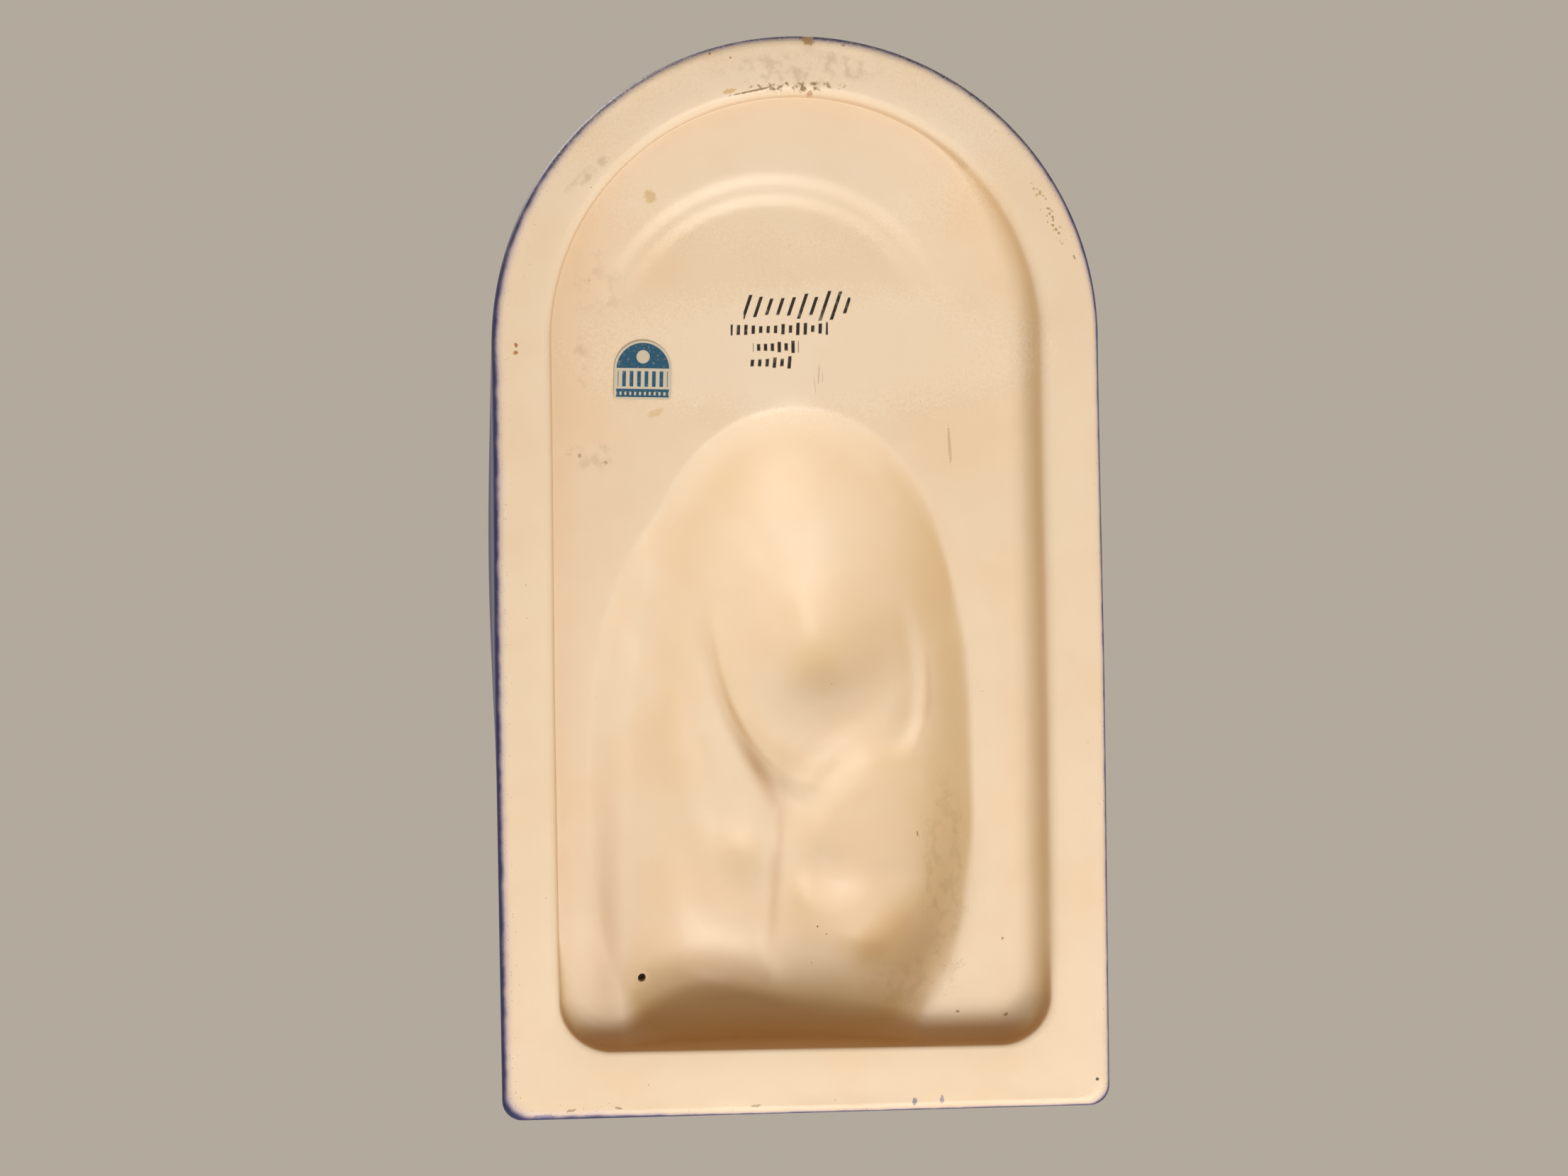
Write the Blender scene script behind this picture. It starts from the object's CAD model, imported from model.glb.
# %% [markdown]
# # An arched ceramic plaque, seen from behind
# The object is one slip-cast piece of earthenware: a frame band round a shallow niche, with a veiled
# woman and a swaddled child in high relief. We look at its back. Slip leaves a wall of even
# thickness on the plaster mould, so the back carries the relief as a soft hollow.
# This file makes the casting and a small foil label, glazes them, and lights them over a plain floor.

# %% Load the frame and its sizes
import math

import bmesh
import bpy
import numpy as np
from mathutils import Matrix, Vector


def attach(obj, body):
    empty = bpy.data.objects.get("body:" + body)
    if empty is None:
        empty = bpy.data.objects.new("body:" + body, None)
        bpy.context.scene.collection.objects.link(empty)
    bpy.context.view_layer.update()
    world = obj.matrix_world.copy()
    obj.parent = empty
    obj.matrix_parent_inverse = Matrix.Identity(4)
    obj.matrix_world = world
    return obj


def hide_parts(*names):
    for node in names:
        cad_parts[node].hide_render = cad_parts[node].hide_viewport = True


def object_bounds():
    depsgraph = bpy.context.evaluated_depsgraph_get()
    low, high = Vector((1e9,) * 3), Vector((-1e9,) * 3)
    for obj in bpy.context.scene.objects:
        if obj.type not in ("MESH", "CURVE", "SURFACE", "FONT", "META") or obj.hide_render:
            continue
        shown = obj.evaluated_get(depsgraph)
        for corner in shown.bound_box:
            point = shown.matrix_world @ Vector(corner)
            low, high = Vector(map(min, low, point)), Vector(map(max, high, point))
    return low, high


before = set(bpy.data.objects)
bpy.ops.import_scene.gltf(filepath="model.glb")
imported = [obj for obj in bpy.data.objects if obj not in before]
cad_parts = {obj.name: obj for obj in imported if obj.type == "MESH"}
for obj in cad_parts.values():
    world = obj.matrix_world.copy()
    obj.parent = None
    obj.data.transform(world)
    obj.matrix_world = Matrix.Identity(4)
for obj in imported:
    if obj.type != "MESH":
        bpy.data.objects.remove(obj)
cad_low, cad_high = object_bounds()
MM = 0.001
print("plaque, metres:", [round(high - low, 4) for low, high in zip(cad_low, cad_high)])

# %% [markdown]
# ## Sizes
# All shapes are worked out in millimetres, and become metres when a mesh is placed.
# The width and height come from the frame. The others are the potter's own sizes: the rim, the lip,
# the wall. A depth is counted forwards from the flat back rim, so a deeper point has a lower Y.

# %% Name the sizes
SPLAY = 1.0
SPLAY_RUN = 140.0
SIDE_TAPER = 2.0
SIDE_BULGE = 3.4
SIDE_BULGE_Z = -70.0
SIDE_BULGE_REACH = 75.0
RIM = 20.5
RIM_EDGE = 3.5
LIP = 4.0
LIP_AT_FOOT = 1.6
FOOT_OPEN = 9.0
FOOT_TIGHT = 0.4
DRAFT = 0.6
WALL = 6.0
RECESS = 16.0
FRAME_DEPTH = 28.0
BAND = 18.0
BAND_EDGE = 4.0
NICHE_WALL = 3.0
PLAQUE_CORNER = 7.0
RECESS_CORNER = 18.0
FOOT_LIFT = 2.5
FOOT_LEAN = 0.9
FOOT_LIFT_REACH = 60.0
COVE_CENTRE = (7.0, -6.0)
COVE_RADII = (55.0, 62.0)
COVE_RUN = 6.0
COVE_RISE = 1.8
FIGURE = 226.0

HEIGHT = (cad_high[2] - cad_low[2]) / MM
HALF = -cad_low[0] / MM - SPLAY
ARCH_Z = cad_high[2] / MM - HALF
PLAQUE_FOOT = HALF - HEIGHT
RECESS_FOOT = PLAQUE_FOOT + RIM
print(f"plaque {2 * HALF:.1f} x {HEIGHT:.1f} mm, arch centre at Z {ARCH_Z:.2f} mm")

# %% [markdown]
# ## Shaping functions
# A relief is a height over a flat plan, so it can be built from a few smooth functions of x and z:
# a step with rounded ends, a larger-of-two with a soft join, a dome, and a small mound.
# They take whole numpy arrays, so a hundred thousand points cost a moment.

# %% Small shaping functions


def ease(value, start, end):
    t = np.clip((value - start) / (end - start), 0, 1)
    return t * t * (3 - 2 * t)


def blend_max(a, b, width):
    h = np.clip(0.5 + 0.5 * (a - b) / width, 0, 1)
    return b + (a - b) * h + width * h * (1 - h)


def dome(inside, fullness):
    return 1 - (1 - np.clip(inside, 0, 1)) ** fullness


def turned(x, z, centre, degrees):
    c = math.cos(math.radians(degrees))
    s = math.sin(math.radians(degrees))
    dx = x - centre[0]
    dz = z - centre[1]
    return dx * c + dz * s, dz * c - dx * s


def mound(across, up, half_across, half_up):
    return np.exp(-((across / half_across) ** 2) - (up / half_up) ** 2)


# %% [markdown]
# ## The cloth
# The veil is an upright egg, the bust is a taller squarish dome under it, and the mantle is a low
# apron that shows beside the shoulder. A few long mounds are the folds. All are shares of the
# figure's height, measured up from its foot, with x to the right as seen from the front.

# %% Veil, mantle and bust
HEAD = {"centre": (-0.022, 0.655), "height": 0.487, "turn": -14}
CHILD = {"centre": (-0.112, 0.262), "half": (0.132, 0.205), "turn": 14}


def veil(x, z):
    skull = 0.044 * mound(x + 0.055, z - 0.61, 0.125, 0.135)
    return skull + 0.088 * dome(1 - (x / 0.241) ** 2 - ((z - 0.69) / 0.31) ** 2, 1.4)


def mantle(x, z):
    across = (x - 0.029) / 0.299
    up = (z - 0.394) / np.where(z > 0.394, 0.513, 0.451)
    return 0.034 * dome(1 - np.abs(across) ** 2.5 - np.abs(up) ** 2.5, 3.5)


def bust(x, z):
    child_side = -0.27 + 0.08 * ease(-z, -0.372, 0.058)
    arm_side = 0.2655 + 0.0265 * ease(-z, -0.836, -0.217)
    across = (x - (child_side + arm_side) / 2) / ((arm_side - child_side) / 2)
    up = (z - 0.438) / np.where(z > 0.438, 0.465, 0.752)
    return 0.093 * dome(1 - np.abs(across) ** 2.6 - np.abs(up) ** 3, 1.5)


def cloth(x, z):
    blended = blend_max(blend_max(veil(x, z), bust(x, z), 0.022), mantle(x, z), 0.009)
    raised_where_bare = 0.0058
    return np.maximum(blended - raised_where_bare, 0)


# %% Folds


def folds(x, z):
    fall = turned(x, z, (0.195, 0.482), -6)
    pleat = turned(x, z, (0.146, 0.438), -10)
    shoulder = turned(x, z, (0.23, 0.628), -22)
    forearm = turned(x, z, (0.133, 0.09), 16)
    hand = turned(x, z, (0.075, 0.296), 25)
    blanket = turned(x, z, (-0.13, 0.155), 37)
    between = turned(x, z, (0.03, 0.27), 2)
    depth = 0.004 * mound(*fall, 0.035, 0.204)
    depth = depth - 0.003 * mound(*pleat, 0.022, 0.177)
    depth = depth - 0.003 * mound(*shoulder, 0.028, 0.1)
    depth = depth + 0.027 * mound(*forearm, 0.15, 0.06)
    depth = depth + 0.009 * mound(*hand, 0.055, 0.04)
    depth = depth + 0.012 * mound(*blanket, 0.038, 0.085)
    return depth - 0.005 * mound(*between, 0.024, 0.11)


def drapery(x, z):
    """Fine folds that only the relief side has: the veil falls in runs, and bands cross the child."""
    lean = x - 0.16 * (0.75 - z) ** 2
    falls = np.sin(math.tau * (lean / 0.052 + 0.6 * np.sin(5 * z)))
    on_veil = ease(x, 0.07, 0.16) * ease(-z, -0.8, -0.6) * ease(z, 0.16, 0.26)
    along, up = turned(x, z, (-0.1, 0.07), -24)
    bands = np.sin(math.tau * up / 0.038)
    on_body = mound(along, up, 0.1, 0.055)
    return 0.0032 * falls * on_veil + 0.0026 * bands * on_body


def swaddling(x, z):
    """Soft folds that only the hollow has, low down where the slip lay thick round the blanket."""
    tuck = turned(x, z, (-0.053, 0.262), 12)
    bundle = turned(x, z, (-0.1, 0.15), 32)
    edge = turned(x, z, (0.17, 0.29), -8)
    depth = -0.0075 * mound(*tuck, 0.062, 0.036)
    depth = depth + 0.005 * mound(*bundle, 0.08, 0.04)
    return depth - 0.005 * mound(*edge, 0.028, 0.09)


# %% Edges of the veil and of the child's head


def inside_veil_edge(x, z):
    across, up = turned(x, z, HEAD["centre"], HEAD["turn"])
    across = np.abs(across / HEAD["height"]) / 0.325
    up = np.abs(up / HEAD["height"] + 0.07) / 0.49
    return (1 - (across ** 2.2 + up ** 2.2) ** (1 / 2.2)) * 0.36 * HEAD["height"]


def inside_child(x, z):
    across, up = turned(x, z, CHILD["centre"], CHILD["turn"])
    rho = np.abs(across / CHILD["half"][0]) ** 2.2 + np.abs(up / CHILD["half"][1]) ** 2.2
    return (1 - rho ** (1 / 2.2)) * CHILD["half"][0] * 1.15


# %% [markdown]
# ## The faces
# Both faces are plain and calm, with their eyes closed, drawn to the proportions in any drawing
# manual: eyes halfway down the head, nose and mouth at thirds of what is left. The inside of the
# casting gets the same features spread out and faint, because slip rounds everything it covers.

# %% The woman's face


def face_form(x, z, softness, fine):
    across, up = turned(x, z, HEAD["centre"], HEAD["turn"])
    across = np.abs(across / HEAD["height"])
    up = up / HEAD["height"]
    bridge = np.clip((0.1 - up) / 0.29, 0, 1)
    nose_half = (0.028 + 0.022 * bridge) * softness
    nose_ends = ease(up, -0.16 - 0.055 * softness, -0.22 + 0.045 * softness) * ease(-up, -0.16, -0.04)
    brow = np.exp(-(((up - 0.115 + 0.35 * across ** 2) / (0.045 * softness)) ** 2))
    form = 0.02 * brow * np.exp(-((across / 0.25) ** 4))
    form = form - 0.055 * mound(across - 0.145, up - 0.025, 0.085 * softness, 0.062 * softness)
    form = form + 0.022 * mound(across - 0.2, up + 0.13, 0.09 * softness, 0.1 * softness)
    form = form + (0.022 + 0.06 * bridge ** 1.3) * np.exp(-((across / nose_half) ** 2)) * nose_ends
    form = form + 0.027 * mound(across, up + 0.425, 0.085 * softness, 0.055 * softness)
    if not fine:
        form = form + 0.03 * mound(across - 0.14, up - 0.005, 0.06 * softness, 0.04 * softness)
        form = form + 0.034 * mound(across, up + 0.305, 0.11 * softness, 0.05 * softness)
        return form * HEAD["height"]
    form = form + 0.026 * mound(across - 0.047, up + 0.175, 0.024, 0.024)
    # Lids: a ball in the socket, the closed line low on it, and the crease above
    eye = across - 0.14
    ball = 1 - (eye / 0.082) ** 2 - ((up - 0.008) / 0.054) ** 2
    form = form + 0.040 * np.clip(ball, 0, 1) ** 0.7
    lid_line = up + 0.03 - 1.9 * eye ** 2
    form = form - 0.010 * np.exp(-((lid_line / 0.009) ** 2)) * np.exp(-((eye / 0.07) ** 4))
    crease = up - 0.05 + 2.4 * eye ** 2
    form = form - 0.007 * np.exp(-((crease / 0.011) ** 2)) * np.exp(-((eye / 0.07) ** 4))
    # Lips: a low pad, then the upper lip with its bow, the lower lip and the line between
    form = form + 0.024 * mound(across, up + 0.305, 0.13, 0.07)
    bow = up + 0.287 - 0.012 * np.exp(-((across / 0.045) ** 2)) + 0.25 * across ** 2
    form = form + 0.018 * np.exp(-((bow / 0.02) ** 2)) * np.exp(-((across / 0.085) ** 4))
    form = form + 0.024 * mound(across, up + 0.332, 0.072, 0.025)
    parting = up + 0.308 - 0.35 * across ** 2
    form = form - 0.014 * np.exp(-((parting / 0.009) ** 2)) * np.exp(-((across / 0.095) ** 4))
    form = form - 0.012 * mound(across, up + 0.375, 0.06, 0.022)
    form = form - 0.006 * mound(across, up + 0.245, 0.014, 0.03)
    return form * HEAD["height"]


# %% The child's face


def child_face_form(x, z, softness, fine):
    face_height = CHILD["half"][1] * 1.74
    across, up = turned(x, z, CHILD["centre"], CHILD["turn"])
    across = np.abs(across / face_height)
    up = up / face_height
    form = -0.048 * mound(across - 0.15, up, 0.1, 0.07)
    form = form + 0.055 * mound(across, up + 0.15, 0.06 * softness, 0.07 * softness)
    form = form + 0.03 * mound(across - 0.2, up + 0.19, 0.11, 0.1)
    form = form + 0.027 * mound(across, up + 0.31, 0.1, 0.05)
    if not fine:
        form = form + 0.03 * mound(across - 0.15, up + 0.02, 0.075, 0.045)
        return form * face_height
    eye = across - 0.15
    ball = 1 - (eye / 0.095) ** 2 - ((up + 0.02) / 0.06) ** 2
    form = form + 0.038 * np.clip(ball, 0, 1) ** 0.7
    lid_line = up + 0.055 - 1.6 * eye ** 2
    form = form - 0.011 * np.exp(-((lid_line / 0.013) ** 2)) * np.exp(-((eye / 0.08) ** 4))
    parting = up + 0.295 - 0.6 * across ** 2
    form = form - 0.012 * np.exp(-((parting / 0.014) ** 2)) * np.exp(-((across / 0.07) ** 4))
    return form * face_height


# %% [markdown]
# ## The whole figure, inside and outside
# The hollow side is soft. The relief side has the crisp veil edge and the fine faces. The child's
# head lies in front of the woman's chin, so her face is covered where the child is.

# %% Figure
HOLLOW_SIDE = {"relief": 0.18, "softness": 2.0, "hem": 0.03, "fine": False}
RELIEF_SIDE = {"relief": 1.0, "softness": 1.0, "hem": 0.009, "fine": True}


def figure(x, z, side):
    child_inside = inside_child(x, z)
    on_child = ease(child_inside, -0.013, 0.022)
    hem = inside_veil_edge(x, z)
    on_face = ease(hem, 0.004, 0.04) * (1 - on_child)
    side_of_head = turned(x, z, HEAD["centre"], HEAD["turn"])[0] / HEAD["height"]
    lean = np.where(side_of_head < 0, 0.036, 0.058)
    sink = (0.001 - lean * side_of_head) * ease(-z, -0.76, -0.45)
    depth = cloth(x, z) + folds(x, z) + 0.02 * ease(child_inside, -0.045, 0.06)
    depth = depth - sink * ease(hem, -side["hem"] / 2, side["hem"] / 2) * (1 - on_child)
    face = face_form(x, z, side["softness"], side["fine"])
    child_face = child_face_form(x, z, side["softness"], side["fine"])
    depth = depth + side["relief"] * (on_face * face + on_child * child_face)
    if side["fine"]:
        depth = depth + drapery(x, z) * ease(depth, 0.01, 0.04) * (1 - on_child)
    else:
        depth = depth + swaddling(x, z)
    return np.maximum(depth, 0)


def figure_depth(x, z, side):
    return FIGURE * figure(x / FIGURE, (z - RECESS_FOOT) / FIGURE, side)


# %% [markdown]
# ## The recess and the wall
# The recess is flat, with a cove under its round top, a rounded foot and a soft lip. The front of the
# casting is the hollow grown by the wall's thickness in every direction: over each point lie the
# tops of small balls that roll in the hollow, and the highest of them is the front.

# %% Floor of the recess
VENT = (HALF - 50.0, RECESS_FOOT + 25.5)
VENT_DIAMETER = 3.0
VENT_DEPTH = 4.0
VENT_COLLAR = {"height": 0.5, "radius": 2.6, "width": 1.1}
COVE_SPAN = (25, 78)


def cove(x, z):
    x = x - COVE_CENTRE[0]
    z = z - COVE_CENTRE[1]
    from_top = np.degrees(np.arctan2(np.abs(x), z))
    faded = 1 - ease(from_top, *COVE_SPAN)
    steps = [ease(np.hypot(x, z), r - COVE_RUN / 2, r + COVE_RUN / 2) for r in COVE_RADII]
    return COVE_RISE * faded * sum(steps)


def vent_collar(x, z):
    away = np.hypot(x - VENT[0], z - VENT[1]) - VENT_COLLAR["radius"]
    return VENT_COLLAR["height"] * np.exp(-((away / VENT_COLLAR["width"]) ** 2))


def floor_depth(x, z):
    return RECESS - cove(x, z) + figure_depth(x, z, HOLLOW_SIDE)


# %% Edge and foot of the recess


def inside_recess(x, z):
    half = HALF - RIM
    across = np.abs(x) - (half - RECESS_CORNER)
    down = RECESS_FOOT + RECESS_CORNER - z
    corner = np.hypot(np.maximum(across, 0), np.maximum(down, 0))
    straight = RECESS_CORNER - corner - np.minimum(np.maximum(across, down), 0)
    return np.where(z > 0, half - np.hypot(x, z), straight)


def near_foot(z):
    return ease(RECESS_FOOT - z, -45, 0)


def foot_radius(x, z):
    towards_side = ease(-x - 0.6 * np.maximum(z, 0), 0, 70)
    return FOOT_TIGHT + (FOOT_OPEN - FOOT_TIGHT) * np.maximum(towards_side, near_foot(z))


def foot_drop(from_wall, radius):
    run = np.clip(from_wall, 0, radius)
    return radius - np.sqrt(radius ** 2 - (radius - run) ** 2)


def hollow_depth(x, z):
    from_wall = inside_recess(x, z) - DRAFT
    drop = foot_drop(from_wall, foot_radius(x, z))
    return np.where(from_wall < 0, 0, floor_depth(x, z) - drop)


# %% Front of the casting


def cast_depth(x, z):
    steps = 5
    grown = np.zeros_like(x)
    for i in range(-steps, steps + 1):
        for j in range(-steps, steps + 1):
            dx = WALL * i / steps
            dz = WALL * j / steps
            left = WALL ** 2 - dx ** 2 - dz ** 2
            if left > -1e-9:
                ball = hollow_depth(x + dx, z + dz) + math.sqrt(max(left, 0))
                grown = np.maximum(grown, ball)
    return grown + figure_depth(x, z, RELIEF_SIDE) - figure_depth(x, z, HOLLOW_SIDE)


# %% [markdown]
# ## Knitting the mesh
# One grid would be torn by the steep walls, so the casting is knitted like a sock. A grid is the
# floor of the recess. Its edge is extruded ring by ring: up the wall, over the lip, across the rim,
# round the side and on to the front, where a second grid closes it.
# At first the mesh is only a stack: x and y run from -1 to 1 and z counts the rings. Then each point
# moves to its real place at once. That keeps every quad in order, with no list of faces.

# %% Rings from the recess floor to the niche
BAND_RINGS = (8.0, 12.5, 14.0, 15.0, 16.5)
NICHE_LIP_DROP = 0.4


def quarter(steps):
    return [math.pi / 2 * i / steps for i in range(1, steps + 1)]


rings = []
for turn in [0.0] + quarter(5):
    rings.append(("floor", turn, 0.0))
for turn in [0.0] + quarter(4):
    rings.append(("lip", turn, 0.0))
for share in (0.33, 0.67):
    rings.append(("flat", RIM - LIP + share * (RIM_EDGE - RIM + LIP), 0.0))
rings.append(("flat", RIM_EDGE, 0.0))
for turn in quarter(4):
    rings.append(("flat", RIM_EDGE * (1 - math.sin(turn)), RIM_EDGE * (1 - math.cos(turn))))
side_end = FRAME_DEPTH - BAND_EDGE
rings.append(("side", SIDE_TAPER / 2, (RIM_EDGE + side_end) / 2))
rings.append(("side", SIDE_TAPER, side_end))
for turn in quarter(3):
    inset = SIDE_TAPER + BAND_EDGE * (1 - math.cos(turn))
    rings.append(("side", inset, side_end + BAND_EDGE * math.sin(turn)))
last_of_side = len(rings) - 1
first_of_lip = next(i for i, ring in enumerate(rings) if ring[0] == "lip")
first_of_side = next(i for i, ring in enumerate(rings) if ring[0] == "side")
for inset in BAND_RINGS:
    rings.append(("front", inset, FRAME_DEPTH))
rings.append(("front", BAND, FRAME_DEPTH - NICHE_LIP_DROP))
rings.append(("front", BAND + NICHE_WALL / 2, (FRAME_DEPTH + RECESS + WALL) / 2))
rings.append(("front", BAND + NICHE_WALL, 0.0))
print(f"{len(rings)} rings between the recess floor and the niche")

# %% Knit the stack
COLUMNS = 140
FIGURE_ROWS = 200
NICHE_ROWS = 5
ARCH_ROWS = 42
ROWS = FIGURE_ROWS + NICHE_ROWS + ARCH_ROWS


def new_mesh(name, bm):
    mesh = bpy.data.meshes.new(name)
    bm.to_mesh(mesh)
    bm.free()
    return mesh


def knit_stack():
    bm = bmesh.new()
    bmesh.ops.create_grid(bm, x_segments=COLUMNS, y_segments=ROWS, size=1)
    edge = [e for e in bm.edges if e.is_boundary]
    for _ in rings[:-2]:
        grown = bmesh.ops.extrude_edge_only(bm, edges=edge)["geom"]
        corners = [g for g in grown if isinstance(g, bmesh.types.BMVert)]
        bmesh.ops.translate(bm, verts=corners, vec=(0, 0, 1))
        edge = [g for g in grown if isinstance(g, bmesh.types.BMEdge) and g.is_boundary]
    top = Matrix.Translation((0, 0, len(rings) - 1))
    lid = bmesh.ops.create_grid(bm, x_segments=COLUMNS, y_segments=ROWS, size=1, matrix=top)
    lid_verts = set(lid["verts"])
    lid_edge = [e for e in bm.edges if e.is_boundary and e.verts[0] in lid_verts]
    bmesh.ops.bridge_loops(bm, edges=edge + lid_edge)
    return new_mesh("plaque_casting", bm)


casting_mesh = knit_stack()
count = len(casting_mesh.vertices)
stack = np.empty(count * 3)
casting_mesh.vertices.foreach_get("co", stack)
stack = stack.reshape(-1, 3)
print(f"casting: {count} points, {len(casting_mesh.polygons)} faces")

# %% [markdown]
# ## Moving the stack to its place
# Each point's x and y pick a column and a row of the plan, and its ring gives the inset from the
# outer edge. The arch is half a disc, filled by squeezing a square into it, so the rows end on the
# arch without a pole. The lower corners are rounded in the same way. The lower wall of the recess
# sits a little high and askew in its rim, as the potter left it.

# %% Plan of a ring


def squeeze(a, b):
    return a * np.sqrt(1 - b ** 2 / 2), b * np.sqrt(1 - a ** 2 / 2)


def corner_radius(inset):
    outer = PLAQUE_CORNER + (RECESS_CORNER - PLAQUE_CORNER) / RIM * inset
    inner = np.maximum(RECESS_CORNER - (inset - RIM), RECESS_CORNER / 2)
    return np.where(inset < RIM, outer, inner)


def plan(across, row, inset):
    half = HALF - inset
    foot = PLAQUE_FOOT + inset
    figure_top = RECESS_FOOT + FIGURE
    in_figure = np.clip(row / FIGURE_ROWS, 0, 1)
    in_niche = np.clip((row - FIGURE_ROWS) / NICHE_ROWS, 0, 1)
    in_arch = np.clip((row - FIGURE_ROWS - NICHE_ROWS) / ARCH_ROWS, 0, 1)
    x = half * across
    z = foot + (figure_top - foot) * in_figure - figure_top * in_niche
    arch_x, arch_z = squeeze(across, in_arch)
    radius = corner_radius(inset)
    a = np.clip((np.abs(x) - (half - radius)) / radius, 0, 1)
    b = np.clip((foot + radius - z) / radius, 0, 1)
    round_a, round_b = squeeze(a, b)
    in_corner = (a > 0) & (b > 0)
    x = np.where(in_corner, np.sign(x) * (half - radius + radius * round_a), x)
    z = np.where(in_corner, foot + radius - radius * round_b, z)
    x = np.where(in_arch > 0, half * arch_x, x)
    z = np.where(in_arch > 0, half * arch_z, z)
    lift = (FOOT_LIFT + FOOT_LEAN * x / HALF) * ease(inset, RIM_EDGE, RIM)
    z = z + lift * (1 - ease(z, foot, foot + FOOT_LIFT_REACH))
    return x * (1 + SPLAY / HALF * ease(-z, 0, SPLAY_RUN)), z


# %% Plan and depth of every point
ring_of = np.rint(stack[:, 2]).astype(int)
row_of = (stack[:, 1] + 1) / 2 * ROWS
plan_x = np.empty(count)
plan_z = np.empty(count)
inset_of = np.empty(count)
depth = np.empty(count)
for index, (kind, station, level) in enumerate(rings):
    here = ring_of == index
    across = stack[here, 0]
    row = row_of[here]
    inset = station
    if kind == "floor":
        x, z = plan(across, row, RIM)
        radius = foot_radius(x, z)
        inset = RIM + DRAFT + radius * (1 - math.sin(station))
    if kind == "lip":
        x, z = plan(across, row, RIM)
        radius = LIP + (LIP_AT_FOOT - LIP) * near_foot(z)
        inset = RIM - radius * (1 - math.cos(station))
        level = radius * (1 - math.sin(station))
    x, z = plan(across, row, inset)
    if kind == "floor":
        depth[here] = floor_depth(x, z) - vent_collar(x, z) - radius * (1 - math.cos(station))
    elif kind == "front":
        depth[here] = np.maximum(cast_depth(x, z), level)
    else:
        depth[here] = level
    if kind == "side":
        bulge = SIDE_BULGE * mound(x / HALF - 1, z - SIDE_BULGE_Z, 0.35, SIDE_BULGE_REACH)
        x = x + bulge * level / FRAME_DEPTH
    plan_x[here] = x
    plan_z[here] = z
    inset_of[here] = inset
print(f"deepest hollow {depth[ring_of == 0].max():.1f} mm, highest relief {depth.max():.1f} mm")

# %% [markdown]
# ## A hand's unevenness
# Cast ware is never quite true: the lip wanders, the rim dips where it was sponged, and the floor is
# a little wavy. Slow waves of two lengths do this. The floor lies quiet where the label sticks to it,
# and the rim is only ever hollowed, never raised, so that it still lies flat on a wall.
# A flake is missing from the edge at the top.

# %% Uneven surface
LABEL = (HALF - 53.0, -9.4)
LABEL_QUIET = 14
SLOW_WAVE = 0.22
QUICK_WAVE = 0.07
SPONGED = 0.29
CHIP = (-5.6, HALF - 1.3)
FLAKE = 0.9
FLAKE_HALF = (2.0, 1.7)


def waves(x, z, length, seed):
    k = 2 * math.pi / length
    first = np.sin(k * (0.9 * x + 0.43 * z) + seed)
    second = np.sin(k * (-0.37 * x + 0.93 * z) + 2.1 * seed)
    third = np.sin(k * 1.7 * (0.7 * x - 0.71 * z) + 3.7 * seed)
    return (first * second + 0.5 * third) / 1.5


last_of_rim = next(i for i, (kind, inset, level) in enumerate(rings) if kind == "flat" and level > 0)
on_back = ring_of < last_of_rim
wander = SLOW_WAVE * waves(plan_x, plan_z, 90, 1.3) + QUICK_WAVE * waves(plan_x, plan_z, 23, 4.1)
wander = wander * (1 - mound(plan_x - LABEL[0], plan_z - LABEL[1], LABEL_QUIET, LABEL_QUIET))
sponged = SPONGED * (1 - ease(depth, 4, 14))
depth = np.where(on_back, np.maximum(depth + wander + sponged, 0), depth)
flake = FLAKE * mound(plan_x - CHIP[0], plan_z - CHIP[1], *FLAKE_HALF) * (ring_of < last_of_side)
depth = depth + flake
print(f"the rim wanders by {(wander + sponged)[on_back].max():.2f} mm at most")

points = np.stack([plan_x, -depth, plan_z + ARCH_Z], axis=1) * MM
casting_mesh.vertices.foreach_set("co", points.ravel())
casting_mesh.update()

# %% [markdown]
# ## Where the glaze lies
# The glazer dipped the casting in ivory glaze, then sprayed blue on the frame and the niche from the
# front. The spray wraps round the edge and thins out on the back rim, further on one side than on the
# other. The glaze runs off the lips and pools, thick and yellow, in the hollows and on the steep wall.
# It is darkest where the foot of the hollow turns under, up to a soft hill on one side, and along a
# few grooves, which lie where the veil's hem ends, beside the child, and down both flanks.
# These follow the shape, so each point stores its share of them for the material to use.

# %% Store the spray


def store(mesh, name, values):
    layer = mesh.attributes.new(name, "FLOAT", "POINT")
    layer.data.foreach_set("value", values.astype(np.float32))


on_front = ring_of >= first_of_side
relief = depth - (RECESS + WALL)
on_figure = ease(relief, 0.8, 4.0) * (ring_of >= len(rings) - 2)
on_arch = ease(plan_z, -40, 40)
spray_reach = 2.8 + 3.4 * ease(plan_x, 20, 95) + 1.4 * ease(-plan_x, -20, 40) * on_arch
spray = 1 - np.clip(inset_of / spray_reach, 0, 1)
niche_spray = 0.45 + 0.4 * ease(-inside_recess(plan_x, plan_z), -42, -4)
in_niche = ring_of == len(rings) - 1
store(casting_mesh, "spray", np.where(on_front, 1, spray))
store(casting_mesh, "blue", np.where(in_niche, niche_spray, on_front) * (1 - on_figure))
store(casting_mesh, "back", np.where(on_front, 0, 1))
print(f"the spray reaches {spray_reach.max():.1f} mm on to the back at most")

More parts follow.
